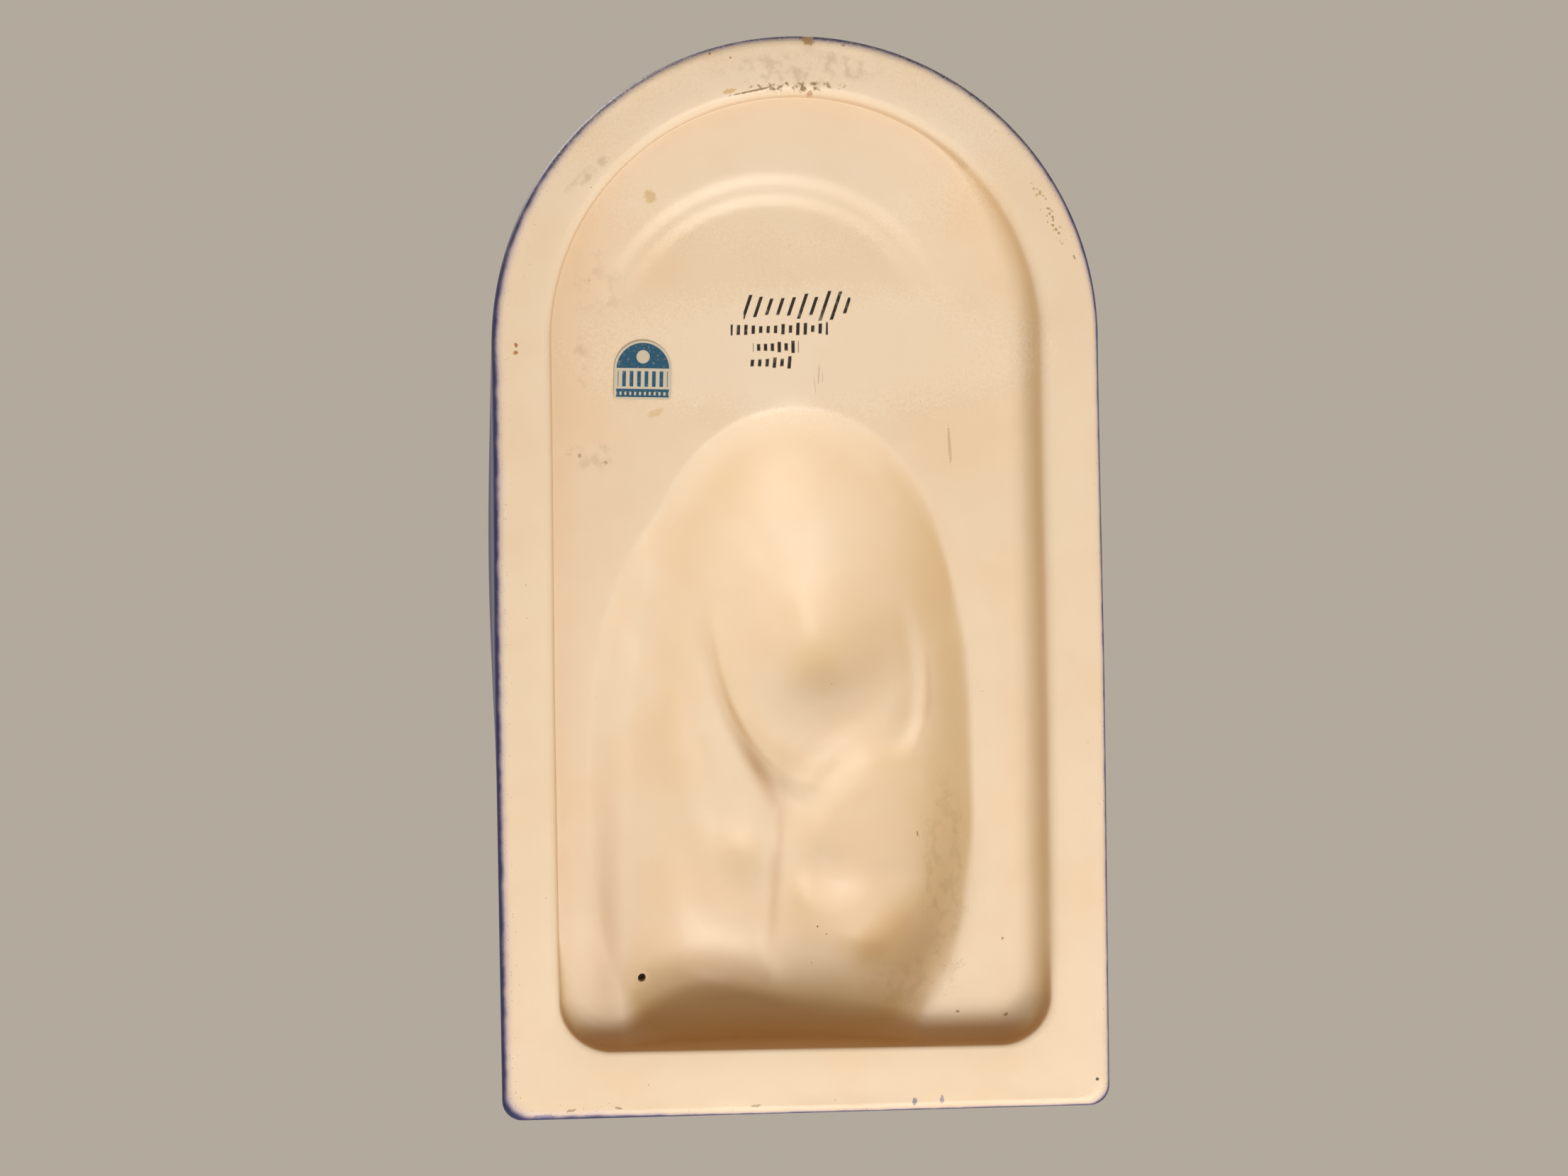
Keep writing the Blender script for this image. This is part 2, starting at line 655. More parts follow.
# %% Store the pooled glaze, the grooves and the wall
HILL = (30.0, 22.0)
GROOVES = [
    ((12.5, -152.0), -28, 3.0, 13.0, 0.55),
    ((6.7, -187.0), 5, 2.2, 27.0, 0.32),
    ((-40.0, -219.0), 38, 7.0, 24.0, 0.2),
    ((68.0, -205.0), 2, 6.0, 45.0, 0.3),
]


def sunk(reach):
    turns = [math.tau * k / 8 for k in range(8)]
    ring = [floor_depth(plan_x + reach * math.cos(a), plan_z + reach * math.sin(a)) for a in turns]
    return floor_depth(plan_x, plan_z) - sum(ring) / len(ring)


on_floor = ring_of < first_of_lip
over_foot = plan_z - RECESS_FOOT - FOOT_LIFT - FOOT_LEAN * plan_x / HALF
slope = (floor_depth(plan_x + 2, plan_z) - floor_depth(plan_x - 2, plan_z)) / 4
pooled = np.maximum(0.8 * ease(sunk(12.0), -1, 6), 0.45 * ease(slope, 0.25, 0.95))
pooled = pooled * (1 - 0.7 * mound(plan_x - 55, plan_z + 160, 18, 60))
pooled = np.maximum(pooled, 0.9 * (1 - ease(over_foot, 2, 34)) * ease(depth, 17, 26))
creased = 0.5 * ease(sunk(4.0), 0.25, 1.1)
steps_aside = (-14, -7, 0, 7, 14)
broad = sum(floor_depth(plan_x + step, plan_z) for step in steps_aside) / len(steps_aside)
hill = mound(plan_x - HILL[0], 0, HILL[1], 1)
top = 8 + 4 * ease(broad, 17, 29) + 9 * hill
shadowed = 0.45 - 0.45 * ease(over_foot, top - 5, top + 2)
shadowed = shadowed + 0.45 - 0.45 * ease(over_foot, 0, 13)
creased = np.maximum(creased, shadowed)
for place, lean, half_across, half_up, strength in GROOVES:
    groove = mound(*turned(plan_x, plan_z, place, lean), half_across, half_up)
    creased = np.maximum(creased, strength * groove)
steep = ease(ring_of, first_of_lip - 4, first_of_lip - 1)
steep = steep * (1 - ease(ring_of, first_of_lip, first_of_lip + 2))
tight = steep * np.where(foot_radius(plan_x, plan_z) < 3, 0.45, 0.9 * near_foot(plan_z))
store(casting_mesh, "hollow", pooled * on_floor)
store(casting_mesh, "crease", np.maximum(creased * on_floor, tight))
wall_of_recess = ease(ring_of, 0, first_of_lip - 2)
wall_of_recess = wall_of_recess * (1 - ease(ring_of, first_of_lip - 1, first_of_lip + 2))
store(casting_mesh, "wall", wall_of_recess * (0.7 + 0.3 * near_foot(plan_z)))
print(f"glaze pools on {100 * np.mean(pooled[on_floor] > 0.5):.0f}% of the recess floor's points")

# %% Turn the faces outwards and place the casting


def add_object(name, mesh, smooth=True):
    mesh.polygons.foreach_set("use_smooth", [smooth] * len(mesh.polygons))
    piece = bpy.data.objects.new(name, mesh)
    bpy.context.scene.collection.objects.link(piece)
    return piece


def outward(mesh):
    bm = bmesh.new()
    bm.from_mesh(mesh)
    bmesh.ops.recalc_face_normals(bm, faces=bm.faces)
    if bm.calc_volume(signed=True) < 0:
        bmesh.ops.reverse_faces(bm, faces=bm.faces)
    litres = bm.calc_volume() * 1000
    bm.to_mesh(mesh)
    bm.free()
    return litres


print(f"clay: {outward(casting_mesh):.3f} litres")
plaque = add_object("plaque_casting", casting_mesh)
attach(plaque, "root")
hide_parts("plaque")

# %% [markdown]
# ## The vent
# A small blind hole in the low hollow let the gases out in the kiln. The mesh is too coarse for it, so
# a drill cuts it: a Boolean modifier, applied at once.

# %% Drill the vent


def drill(piece, place, surface, diameter, deep):
    bm = bmesh.new()
    at = Matrix.Translation(Vector((place[0], -surface, place[1] + ARCH_Z)) * MM)
    lie = at @ Matrix.Rotation(math.radians(90), 4, "X")
    radius = diameter / 2 * MM
    length = 2 * deep * MM
    bmesh.ops.create_cone(
        bm, cap_ends=True, segments=32, radius1=radius, radius2=radius, depth=length, matrix=lie
    )
    bit = add_object("drill_bit", new_mesh("drill_bit", bm))
    cut = piece.modifiers.new("vent", "BOOLEAN")
    cut.operation = "DIFFERENCE"
    cut.object = bit
    drilled = piece.evaluated_get(bpy.context.evaluated_depsgraph_get())
    mesh = bpy.data.meshes.new_from_object(drilled)
    piece.modifiers.clear()
    piece.data = mesh
    bpy.data.objects.remove(bit)
    mesh.set_sharp_from_angle(angle=math.radians(65))


vent_surface = float(floor_depth(np.array([VENT[0]]), np.array([VENT[1]]))[0])
drill(plaque, VENT, vent_surface, VENT_DIAMETER, VENT_DEPTH)
print(f"vent {VENT_DIAMETER} x {VENT_DEPTH} mm, casting now {len(plaque.data.polygons)} faces")

# %% [markdown]
# ## The label
# A piece of foil with a round top, stuck a little askew on the flat floor of the recess. Its edge is
# drawn as an arc and two small corners, filled, and pulled to the foil's thickness.

# %% Label
LABEL_WIDTH = 20.0
LABEL_HEIGHT = 20.5
LABEL_CORNER = 1.5
LABEL_THICK = 0.3
LABEL_GAP = 0.3
LABEL_TILT = math.radians(-2)


def arc(centre, radius, start, end, steps):
    turns = [math.radians(start + (end - start) * i / steps) for i in range(steps + 1)]
    return [(centre[0] + radius * math.cos(t), centre[1] + radius * math.sin(t)) for t in turns]


def make_label():
    half = LABEL_WIDTH / 2
    foot = -LABEL_HEIGHT / 2
    low = foot + LABEL_CORNER
    outline = arc((0, foot + LABEL_HEIGHT - half), half, 0, 180, 36)
    outline += arc((LABEL_CORNER - half, low), LABEL_CORNER, 180, 270, 6)
    outline += arc((half - LABEL_CORNER, low), LABEL_CORNER, 270, 360, 6)
    bm = bmesh.new()
    face = bm.faces.new([bm.verts.new((x * MM, 0, z * MM)) for x, z in outline])
    grown = bmesh.ops.extrude_face_region(bm, geom=[face])["geom"]
    lifted = [g for g in grown if isinstance(g, bmesh.types.BMVert)]
    bmesh.ops.translate(bm, verts=lifted, vec=(0, LABEL_THICK * MM, 0))
    under = RECESS - LABEL_GAP
    place = Vector((LABEL[0], -under, LABEL[1] + ARCH_Z)) * MM
    matrix = Matrix.Translation(place) @ Matrix.Rotation(LABEL_TILT, 4, "Y")
    bmesh.ops.transform(bm, matrix=matrix, verts=bm.verts)
    mesh = new_mesh("label_foil", bm)
    outward(mesh)
    return mesh


label = add_object("label_foil", make_label(), smooth=False)
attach(label, "root")
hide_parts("label")
print(f"label {LABEL_WIDTH:.0f} x {LABEL_HEIGHT:.1f} mm, {LABEL_GAP} mm off the floor of the recess")

# %% [markdown]
# ## Materials
# One function turns a hex colour to linear light, and one adds a node: its values fill the sockets
# in order, a word with a capital names a socket, and any other word names a property. A node given
# as a value is linked from its first output.

# %% Colour and node helpers
SMOOTH = {"interpolation_type": "SMOOTHSTEP"}


def linear(hex_colour):
    channels = [int(hex_colour[i:i + 2], 16) / 255 for i in (1, 3, 5)]
    curve = [c / 12.92 if c <= 0.04045 else ((c + 0.055) / 1.055) ** 2.4 for c in channels]
    return (*curve, 1.0)


def new_material(name):
    material = bpy.data.materials.new(name)
    material.use_nodes = True
    tree = material.node_tree
    tree.nodes.clear()
    return material, tree


def add(tree, kind, *values, **words):
    node = tree.nodes.new("ShaderNode" + kind)
    named = {word: value for word, value in words.items() if word[0].isupper()}
    for word in words.keys() - named.keys():
        setattr(node, word, words[word])
    fed = list(zip([socket for socket in node.inputs if socket.enabled], values))
    fed += [(node.inputs[word.replace("_", " ")], value) for word, value in named.items()]
    for socket, value in fed:
        if isinstance(value, bpy.types.Node):
            value = next(output for output in value.outputs if output.enabled)
        if isinstance(value, bpy.types.NodeSocket):
            tree.links.new(value, socket)
        else:
            socket.default_value = value
    return node


# %% [markdown]
# ## Coats and patches
# A coat lays one colour over another, as thickly as all of its shares multiplied together. Patches
# are a cloudy noise with soft edges, and straying is the same noise either side of nought. Places
# are in millimetres, so each pattern has the size it has on the real glaze.

# %% Coats, patches and straying


def millimetres(tree):
    here = add(tree, "TexCoord").outputs["Object"]
    return add(tree, "VectorMath", here, 1 / MM, operation="SCALE")


def coat(tree, below, colour, *shares):
    share = shares[0]
    for more in shares[1:]:
        share = add(tree, "Math", share, more, operation="MULTIPLY")
    return add(tree, "Mix", share, below, colour, data_type="RGBA")


def patches(tree, where, size, detail, start, end):
    cloud = add(tree, "TexNoise", Vector=where, Scale=1 / size, Detail=detail)
    return add(tree, "MapRange", cloud, start, end, **SMOOTH)


def straying(tree, where, size, reach):
    cloud = add(tree, "TexNoise", Vector=where, Scale=1 / size, Detail=3.0)
    centred = add(tree, "Math", cloud, 0.5, operation="SUBTRACT")
    return add(tree, "Math", centred, reach, operation="MULTIPLY")


# %% [markdown]
# ## Marks of age
# Each mark is an oval at a place on the back: so far to the right and so far above the arch's centre
# as seen from behind, then its half width and half height, its tilt, its colour and its strength.
# The first two are only paler glaze. A little noise is added to the distance, so no oval has a clean
# edge. The smudges are ovals too, but all in one tone, and a cloudy noise breaks them up.

# %% Places of the marks
RUST = linear("#A8611A")
DIRT = linear("#7C5C24")
SOOT = linear("#2E2620")
STAIN = linear("#D2B070")
OLIVE = linear("#A5823A")
BISQUE = linear("#BF9F76")
UMBER = linear("#2A1E1B")
SPRAYED = linear("#4A5590")
PALE = linear("#F8ECDA")
MARKS = [
    (5.0, -4.0, 75.0, 22.0, 0, PALE, 0.4),
    (0.0, 66.0, 70.0, 34.0, 0, PALE, 0.35),
    (-97.3, 0.6, 0.6, 0.9, 8, RUST, 0.9),
    (-97.5, -2.0, 0.8, 0.7, 0, RUST, 0.8),
    (-28.6, 100.0, 0.4, 0.4, 0, RUST, 0.9),
    (-21.5, 98.5, 0.35, 0.35, 0, RUST, 0.8),
    (17.7, 102.2, 0.7, 0.5, 0, BISQUE, 0.9),
    (5.9, 85.6, 1.0, 1.1, 0, RUST, 0.55),
    (6.9, 84.5, 0.8, 0.3, 40, STAIN, 0.8),
    (-22.0, 86.9, 2.2, 0.8, 12, STAIN, 0.7),
    (97.2, 27.7, 0.3, 1.0, 20, DIRT, 0.7),
    (54.5, -37.7, 0.5, 7.0, 3, DIRT, 0.3),
    (43.3, -175.7, 0.3, 1.0, 10, RUST, 0.7),
    (-74.9, -38.9, 0.8, 0.8, 0, DIRT, 0.45),
    (-66.0, -41.4, 0.6, 0.6, 0, DIRT, 0.45),
    (-48.1, -24.4, 3.0, 1.2, 20, STAIN, 0.4),
    (-49.1, 50.8, 2.0, 2.5, 30, STAIN, 0.6),
    (101.8, -259.9, 0.6, 0.6, 0, SOOT, 0.95),
    (54.6, -236.8, 0.7, 0.5, 0, DIRT, 0.7),
    (71.7, -238.3, 0.9, 0.5, 20, DIRT, 0.7),
    (71.0, -211.4, 0.5, 0.5, 0, DIRT, 0.7),
    (-82.8, -266.1, 1.4, 0.5, 10, DIRT, 0.6),
    (-66.3, -265.6, 1.2, 0.4, -10, DIRT, 0.6),
    (-18.1, -266.1, 1.6, 0.5, 5, DIRT, 0.5),
    (8.0, -208.6, 0.35, 0.35, 0, SOOT, 0.7),
    (11.2, -211.3, 0.3, 0.3, 0, SOOT, 0.6),
    (5.5, -221.2, 0.3, 0.3, 0, SOOT, 0.6),
    (37.5, -266.0, 0.8, 1.3, 0, SPRAYED, 0.7),
    (47.0, -265.8, 0.7, 1.5, 0, SPRAYED, 0.6),
    (-92.0, -268.0, 4.0, 0.9, 0, SPRAYED, 0.4),
    (9.0, -12.0, 0.25, 3.4, -4, UMBER, 0.3),
    (10.3, -13.0, 0.2, 2.6, -3, UMBER, 0.22),
    (7.6, -16.0, 0.25, 3.0, 6, UMBER, 0.16),
]
SMUDGES = [
    (4.0, 94.0, 26.0, 6.0, 0, 0.22),
    (-67.7, 19.7, 8.0, 11.0, 0, 0.12),
    (-71.0, -39.0, 8.0, 5.0, 0, 0.17),
    (-74.5, -5.8, 3.0, 10.0, 0, 0.16),
    (-71.6, 59.1, 10.0, 2.0, 40, 0.25),
    (-93.0, 28.4, 1.5, 6.0, -4, 0.25),
    (52.0, -190.0, 7.0, 34.0, 0, 0.12),
    (40.0, -226.0, 16.0, 7.0, 20, 0.12),
]
print(len(MARKS), "marks and", len(SMUDGES), "smudges")

# %% Ovals and specks
OVAL_EDGE = (1.25, 0.7)
DOT_EDGE = (1.1, 0.8)


def oval(tree, where, place, size, tilt=0.0, ragged=0.0):
    local = add(
        tree, "Mapping", Vector=where, Location=(-place[0], 0, place[1] + ARCH_Z),
        Rotation=(0, math.radians(tilt), 0), Scale=(size[0], 1e6, size[1]), vector_type="TEXTURE",
    )
    away = add(tree, "VectorMath", local, operation="LENGTH")
    frayed = add(tree, "Math", away, ragged, operation="ADD")
    return add(tree, "MapRange", frayed, *OVAL_EDGE, **SMOOTH)


def specks(tree, where, cell, radius, share):
    dots = add(tree, "TexVoronoi", Vector=where, Scale=1 / cell)
    luck = add(tree, "SeparateColor", dots.outputs["Color"])
    size = add(tree, "Math", luck.outputs["Green"], radius / cell, operation="MULTIPLY")
    least = add(tree, "Math", size, radius / cell / 4, operation="ADD")
    near = add(tree, "Math", dots.outputs["Distance"], least, operation="DIVIDE")
    dot = add(tree, "MapRange", near, *DOT_EDGE, **SMOOTH)
    chosen = add(tree, "Math", luck.outputs["Red"], share, operation="LESS_THAN")
    return add(tree, "Math", dot, chosen, operation="MULTIPLY")


# %% Rows of strokes
STROKE_EDGE = (0.7, 0.5)


def from_middle(tree, along, pitch):
    """How far a point is from the middle of its own column, where columns stand side by side."""
    column = add(tree, "Math", along, pitch, operation="DIVIDE")
    part = add(tree, "Math", column, operation="FRACT")
    centred = add(tree, "Math", part, 0.5, operation="SUBTRACT")
    away = add(tree, "Math", centred, operation="ABSOLUTE")
    return add(tree, "Math", away, pitch, operation="MULTIPLY")


def strokes(tree, where, place, size, pitch, lean):
    """A row of upright strokes, each a little longer or shorter than the last."""
    local = add(
        tree, "Mapping", Vector=where, Location=(-place[0], 0, place[1] + ARCH_Z),
        Scale=(-1, 1, 1), vector_type="TEXTURE",
    )
    split = add(tree, "SeparateXYZ", local)
    shift = add(tree, "Math", split.outputs["Z"], lean, operation="MULTIPLY")
    along = add(tree, "Math", split.outputs["X"], shift, operation="SUBTRACT")
    line = add(tree, "MapRange", from_middle(tree, along, pitch), *STROKE_EDGE, **SMOOTH)
    column = add(tree, "Math", along, pitch, operation="DIVIDE")
    number = add(tree, "Math", column, operation="FLOOR")
    luck = add(tree, "TexWhiteNoise", W=number, noise_dimensions="1D").outputs["Value"]
    longer = add(tree, "Math", luck, 1.0, operation="ADD")
    reach = add(tree, "Math", longer, size[1] / 4, operation="MULTIPLY")
    height = add(tree, "Math", split.outputs["Z"], operation="ABSOLUTE")
    over = add(tree, "Math", height, reach, operation="SUBTRACT")
    tall = add(tree, "MapRange", over, 0.2, -0.2, **SMOOTH)
    aside = add(tree, "Math", split.outputs["X"], operation="ABSOLUTE")
    wide = add(tree, "MapRange", aside, size[0] / 2 + 0.1, size[0] / 2 - 0.1, **SMOOTH)
    within = add(tree, "Math", tall, wide, operation="MULTIPLY")
    return add(tree, "Math", line, within, operation="MULTIPLY")


# %% [markdown]
# ## The glaze
# An opaque tin glaze, dipped and fired: ivory, glassy but a little worn, and yellow where it is thick.
# It is built up in coats, as a painter would: the mottled body, the yellow where it pools, the spray
# at the edge, the grime, and last the four rows of brush strokes. The rows stand where such ware is
# signed, and say nothing. The front has its own blue, and the two meet along the sides.

# %% Colours of the glaze, and its grime, crust and spray
IVORY = linear("#F0DDC4")
WARM = linear("#EDD3B3")
POOLED = linear("#D6B577")
DEEP = linear("#B07E48")
ON_WALL = linear("#D3B27A")
LILAC = linear("#A9A0C4")
COBALT = linear("#2B2F66")
SKY = linear("#7F92C4")


def grime_on_lip(tree, where, ragged, back):
    broken = patches(tree, where, 2.2, 5.0, 0.46, 0.6)
    smudge = oval(tree, where, (0.5, 88.0), (15.0, 1.6), 0.0, ragged)
    line = oval(tree, where, (-14.0, 86.9), (7.0, 0.35), 11.0, ragged)
    broken = add(tree, "Math", broken, smudge, operation="MULTIPLY")
    grime = add(tree, "Math", broken, line, operation="MAXIMUM")
    return add(tree, "Math", grime, back, operation="MULTIPLY")


def crust_on_rim(tree, where, ragged, back):
    dots = specks(tree, where, 1.1, 0.5, 0.5)
    patch = oval(tree, where, (88.3, 43.0), (11.0, 1.8), -64.0, ragged)
    crust = add(tree, "Math", dots, patch, operation="MULTIPLY")
    return add(tree, "Math", crust, back, operation="MULTIPLY")


def spray_over(tree, where, colour, spray):
    drifting = add(tree, "Math", spray, straying(tree, where, 7.0, 0.25), operation="ADD")
    thin = add(tree, "MapRange", drifting, 0.3, 0.95, **SMOOTH)
    thick = add(tree, "MapRange", drifting, 0.62, 0.92, **SMOOTH)
    colour = coat(tree, colour, LILAC, thin, 0.75)
    colour = coat(tree, colour, COBALT, thick)
    thinning = add(tree, "Math", spray, 0.5, operation="MULTIPLY")
    return coat(tree, colour, COBALT, specks(tree, where, 0.9, 0.16, thinning), 0.7)


# %% Glazed earthenware
GLOSS = 0.38
DIRT_DULLS = 0.2
SPECULAR = 0.36
SIGNED = [
    ((1.7, 11.8), (37.5, 11.0), 3.9, 0.35),
    ((-4.6, 3.9), (34.0, 4.6), 2.6, 0.05),
    ((-5.9, -2.3), (16.0, 4.6), 2.4, 0.0),
    ((-7.7, -7.7), (14.5, 4.6), 2.6, 0.1),
]


def make_glaze():
    material, tree = new_material("ivory_tin_glaze")
    where = millimetres(tree)
    stored = ("back", "hollow", "wall", "crease", "spray", "blue")
    share = {name: add(tree, "Attribute", attribute_name=name).outputs["Fac"] for name in stored}
    back = share["back"]
    ragged = straying(tree, where, 0.9, 1.6)
    body = coat(tree, IVORY, WARM, patches(tree, where, 34.0, 3.0, 0.35, 0.68), 0.55)
    colour = coat(tree, body, POOLED, share["hollow"])
    colour = coat(tree, colour, ON_WALL, share["wall"], 0.62)
    colour = coat(tree, colour, DEEP, share["crease"])
    colour = spray_over(tree, where, colour, share["spray"])

    colour = coat(tree, colour, DIRT, specks(tree, where, 5.0, 0.2, 0.16), 0.55)
    for across, up, half_across, half_up, tilt, tint, strength in MARKS:
        mark = oval(tree, where, (across, up), (half_across, half_up), tilt, ragged)
        colour = coat(tree, colour, tint, mark, strength, back)
    haze = patches(tree, where, 5.0, 5.0, 0.45, 0.66)
    for across, up, half_across, half_up, tilt, strength in SMUDGES:
        smudge = oval(tree, where, (across, up), (half_across, half_up), tilt, ragged)
        colour = coat(tree, colour, DIRT, smudge, haze, strength, back)
    grime = grime_on_lip(tree, where, ragged, back)
    crust = crust_on_rim(tree, where, ragged, back)
    colour = coat(tree, colour, DIRT, grime, 0.8)
    colour = coat(tree, colour, OLIVE, crust, 0.75)
    chip = oval(tree, where, (-CHIP[0], CHIP[1]), (2.0, 1.9), 0.0, ragged)
    colour = coat(tree, colour, BISQUE, chip, back)
    hole = oval(tree, where, (-VENT[0], VENT[1]), (1.35, 1.35))
    colour = coat(tree, colour, SOOT, hole, back)
    brush = patches(tree, where, 2.2, 3.0, 0.2, 0.5)
    ink = add(tree, "Math", brush, 0.25, 0.75, operation="MULTIPLY_ADD")
    for place, size, pitch, lean in SIGNED:
        colour = coat(tree, colour, UMBER, strokes(tree, where, place, size, pitch, lean), ink, back)

    light_blue = add(tree, "MapRange", share["blue"], 0.0, 0.42, **SMOOTH)
    deep_blue = add(tree, "MapRange", share["blue"], 0.4, 1.0, **SMOOTH)
    front = coat(tree, coat(tree, body, SKY, light_blue), COBALT, deep_blue)
    colour = coat(tree, front, colour, back)

    skin = add(tree, "TexNoise", Vector=where, Scale=1 / 4.0, Detail=2.0)
    bump = add(tree, "Bump", Strength=0.35, Distance=0.2 * MM, Height=skin)
    dirty = add(tree, "Math", grime, crust, operation="MAXIMUM")
    matt = add(tree, "Math", dirty, DIRT_DULLS, GLOSS, operation="MULTIPLY_ADD")
    shader = add(
        tree, "BsdfPrincipled", Base_Color=colour, Roughness=matt, Specular_IOR_Level=SPECULAR,
        Normal=bump,
    )
    add(tree, "OutputMaterial", Surface=shader)
    return material


plaque.data.materials.clear()
plaque.data.materials.append(make_glaze())
print("glaze nodes:", len(plaque.data.materials[0].node_tree.nodes))

# %% [markdown]
# ## The foil
# Silver paper printed in blue, satin to the eye: a silver edge, a plain disc in the round top, a pale
# band with upright bars and a blue band with small dashes. Bars and dashes are only a pattern.

# %% Bands, bars and the edge of the foil


def band(tree, value, low, high):
    start = add(tree, "MapRange", value, low - 0.1, low + 0.1, **SMOOTH)
    end = add(tree, "MapRange", value, high + 0.1, high - 0.1, **SMOOTH)
    return add(tree, "Math", start, end, operation="MULTIPLY")


def bars(tree, along, pitch, width):
    away = from_middle(tree, along, pitch)
    return add(tree, "MapRange", away, width / 2 + 0.1, width / 2 - 0.1, **SMOOTH)


def inside_foil(tree, x, z):
    """How far a point of the label is inside its edge."""
    half = LABEL_WIDTH / 2
    over = add(tree, "Math", z, LABEL_HEIGHT / 2 - half, operation="SUBTRACT")
    crown = add(tree, "Math", over, 0.0, operation="MAXIMUM")
    away = add(tree, "VectorMath", add(tree, "CombineXYZ", x, crown), operation="LENGTH")
    from_round = add(tree, "Math", half, away, operation="SUBTRACT")
    from_foot = add(tree, "Math", z, LABEL_HEIGHT / 2, operation="ADD")
    return add(tree, "Math", from_round, from_foot, operation="MINIMUM")


# %% Printed foil
FOIL_BLUE = linear("#225A7C")
FOIL_SILVER = linear("#D8D0BE")
DISC_ABOVE_MIDDLE = 4.6
PALE_BAND = (-6.6, 0.6)
BAR_BAND = (-5.8, -0.4)
DASH_BAND = (-8.8, -7.6)


def make_foil():
    material, tree = new_material("printed_foil")
    local = add(
        tree, "Mapping", Vector=millimetres(tree), Location=(LABEL[0], 0, LABEL[1] + ARCH_Z),
        Rotation=(0, LABEL_TILT, 0), vector_type="TEXTURE",
    )
    split = add(tree, "SeparateXYZ", local)
    x = split.outputs["X"]
    z = split.outputs["Z"]
    inside = inside_foil(tree, x, z)
    edged = add(tree, "MapRange", inside, 0.7, 0.9, **SMOOTH)
    over_disc = add(tree, "Math", z, DISC_ABOVE_MIDDLE, operation="SUBTRACT")
    away = add(tree, "VectorMath", add(tree, "CombineXYZ", x, over_disc), operation="LENGTH")
    round_disc = add(tree, "MapRange", away, 2.2, 2.4, **SMOOTH)
    upright = add(tree, "Math", bars(tree, x, 2.6, 1.3), band(tree, z, *BAR_BAND), operation="MULTIPLY")
    clear_of_edge = add(tree, "MapRange", inside, 1.2, 1.4, **SMOOTH)
    upright = add(tree, "Math", upright, clear_of_edge, operation="MULTIPLY")
    off_band = add(tree, "Math", 1.0, band(tree, z, *PALE_BAND), operation="SUBTRACT")
    printed = add(tree, "Math", off_band, upright, operation="MAXIMUM")
    dashes = add(tree, "Math", bars(tree, x, 1.7, 0.7), band(tree, z, *DASH_BAND), operation="MULTIPLY")
    undashed = add(tree, "Math", 1.0, dashes, operation="SUBTRACT")
    rubbed = patches(tree, local, 0.8, 4.0, 0.3, 0.45)
    worn = add(tree, "Math", rubbed, 0.25, 0.75, operation="MULTIPLY_ADD")
    colour = coat(tree, FOIL_SILVER, FOIL_BLUE, edged, round_disc, printed, undashed, worn)
    shader = add(tree, "BsdfPrincipled", Base_Color=colour, Metallic=0.35, Roughness=0.4)
    add(tree, "OutputMaterial", Surface=shader)
    return material


label.data.materials.append(make_foil())
print("foil nodes:", len(label.data.materials[0].node_tree.nodes))

# %% [markdown]
# ## Floor, camera and light
# The plaque hangs at eye height over a plain pale floor, with no wall behind it, so that it can be
# looked at from every side. The main light comes from low down behind it and rakes across the hollow.

# %% Floor
FLOOR_Z = -1.6
FLOOR_RADIUS = 4.0


def make_floor():
    bm = bmesh.new()
    under = Matrix.Translation((0, 0, FLOOR_Z))
    bmesh.ops.create_circle(bm, cap_ends=True, segments=96, radius=FLOOR_RADIUS, matrix=under)
    floor = add_object("floor", new_mesh("floor", bm), smooth=False)
    material, tree = new_material("pale_plaster_floor")
    white = linear("#F4F0E8")
    shader = add(tree, "BsdfPrincipled", Base_Color=white, Roughness=0.9, Specular_IOR_Level=0.2)
    add(tree, "OutputMaterial", Surface=shader)
    floor.data.materials.append(material)
    return floor


make_floor()
print(f"floor at Z {FLOOR_Z} m, {FLOOR_RADIUS} m in radius")

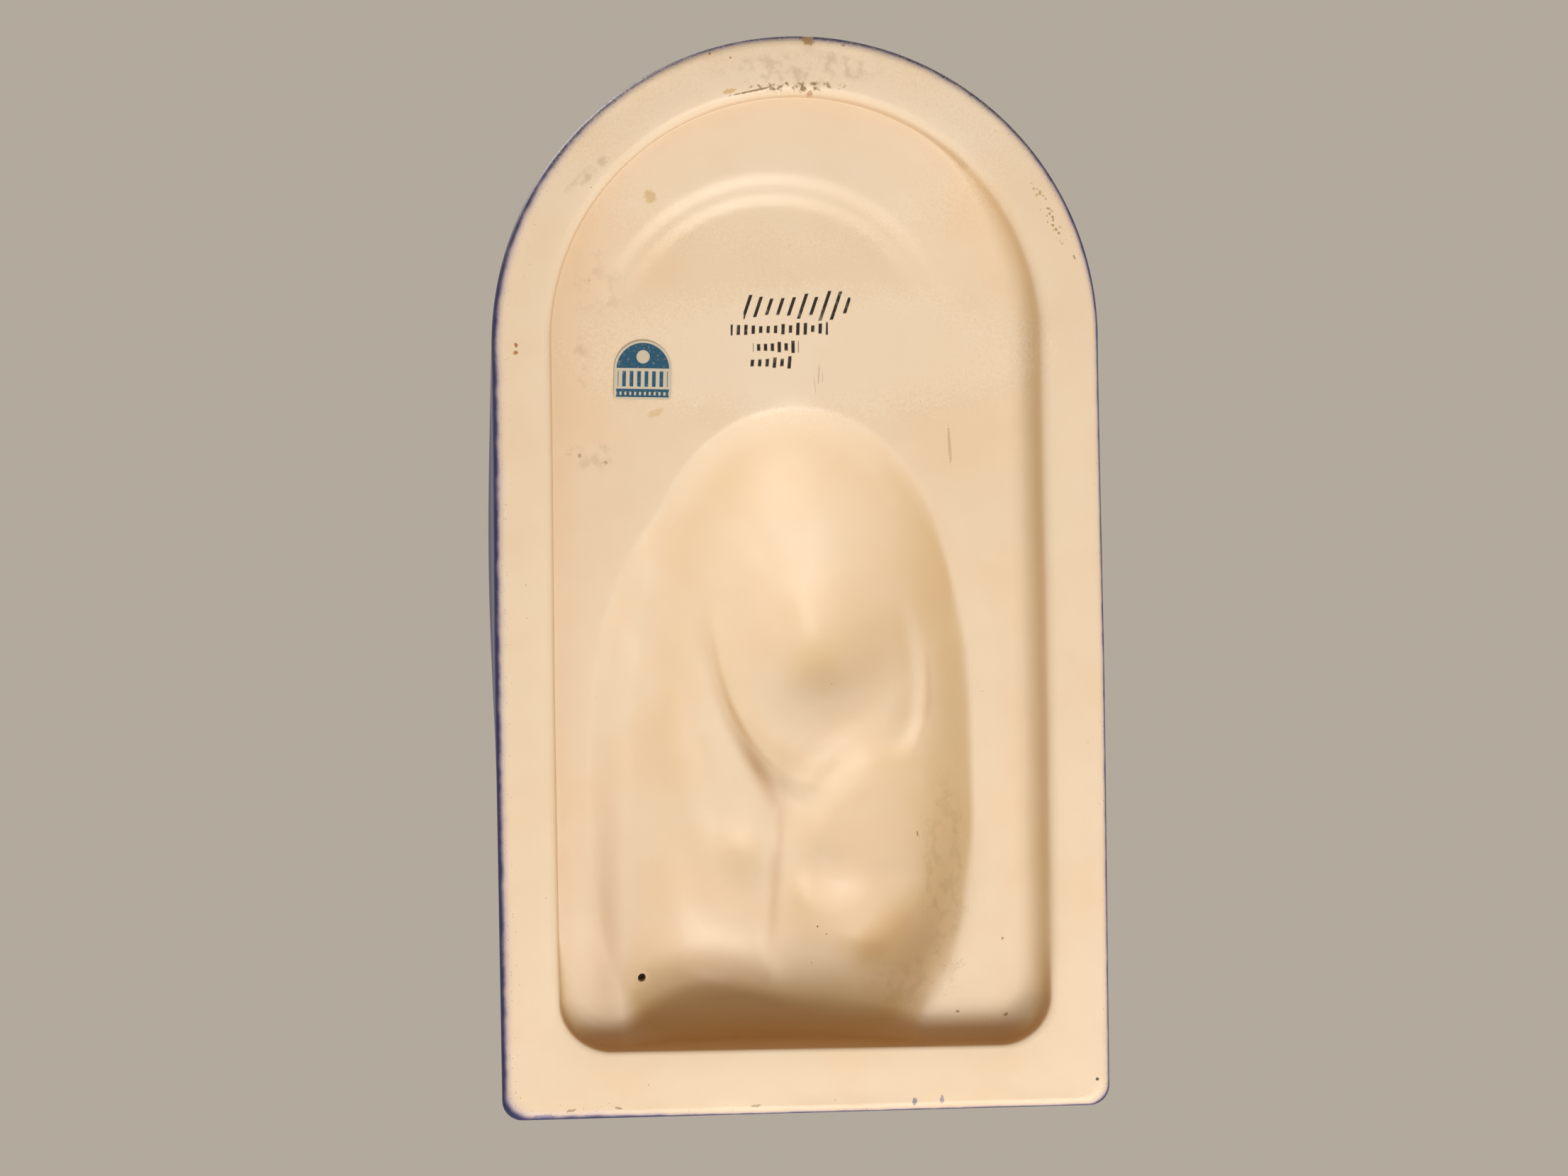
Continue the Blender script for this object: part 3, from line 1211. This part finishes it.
# %% Camera
VIEW_CENTRE = Vector((5.7, 0.0, -180.6)) * MM
PICTURE_PIXELS = 2212
MM_PER_PIXEL = 0.246
VIEW_WIDTH = PICTURE_PIXELS * MM_PER_PIXEL * MM
DISTANCE = 2.5
AZIMUTH = math.radians(5)
ELEVATION = math.radians(4)
ROLL = math.radians(-0.85)


def toward(azimuth, elevation):
    flat = math.cos(elevation)
    return Vector((math.sin(azimuth) * flat, math.cos(azimuth) * flat, math.sin(elevation)))


camera_data = bpy.data.cameras.new("camera")
camera_data.sensor_width = 36
camera_data.lens = 36 * DISTANCE / VIEW_WIDTH
camera = bpy.data.objects.new("camera", camera_data)
bpy.context.scene.collection.objects.link(camera)
camera.location = VIEW_CENTRE + toward(AZIMUTH, ELEVATION) * DISTANCE
look = (VIEW_CENTRE - camera.location).to_track_quat("-Z", "Y")
camera.rotation_euler = (look.to_matrix() @ Matrix.Rotation(ROLL, 3, "Z")).to_euler()
bpy.context.scene.camera = camera
print(f"camera {DISTANCE} m away, lens {camera_data.lens:.0f} mm")


# %% Lights


def area_light(name, direction, distance, size, watts, colour):
    data = bpy.data.lights.new(name, "AREA")
    data.size = size
    data.energy = watts
    data.color = linear(colour)[:3]
    light = bpy.data.objects.new(name, data)
    bpy.context.scene.collection.objects.link(light)
    light.location = VIEW_CENTRE + Vector(direction).normalized() * distance
    light.rotation_euler = (VIEW_CENTRE - light.location).to_track_quat("-Z", "Y").to_euler()
    return light


lights = [
    area_light("key", (-0.20, 0.78, -0.60), 1.9, 0.9, 24.5, "#FFF8F0"),
    area_light("fill", (0.7, 0.9, 0.6), 2.4, 1.6, 3, "#FFF6EC"),
    area_light("front_key", (0.8, -1.0, 0.9), 2.2, 1.2, 30, "#FFF4E8"),
]
print("watts:", {light.name: light.data.energy for light in lights})
bpy.context.scene.view_settings.view_transform = "Standard"

world = bpy.data.worlds.new("studio")
world.use_nodes = True
world.node_tree.nodes["Background"].inputs["Color"].default_value = linear("#F3E7D6")
world.node_tree.nodes["Background"].inputs["Strength"].default_value = 0.5
bpy.context.scene.world = world
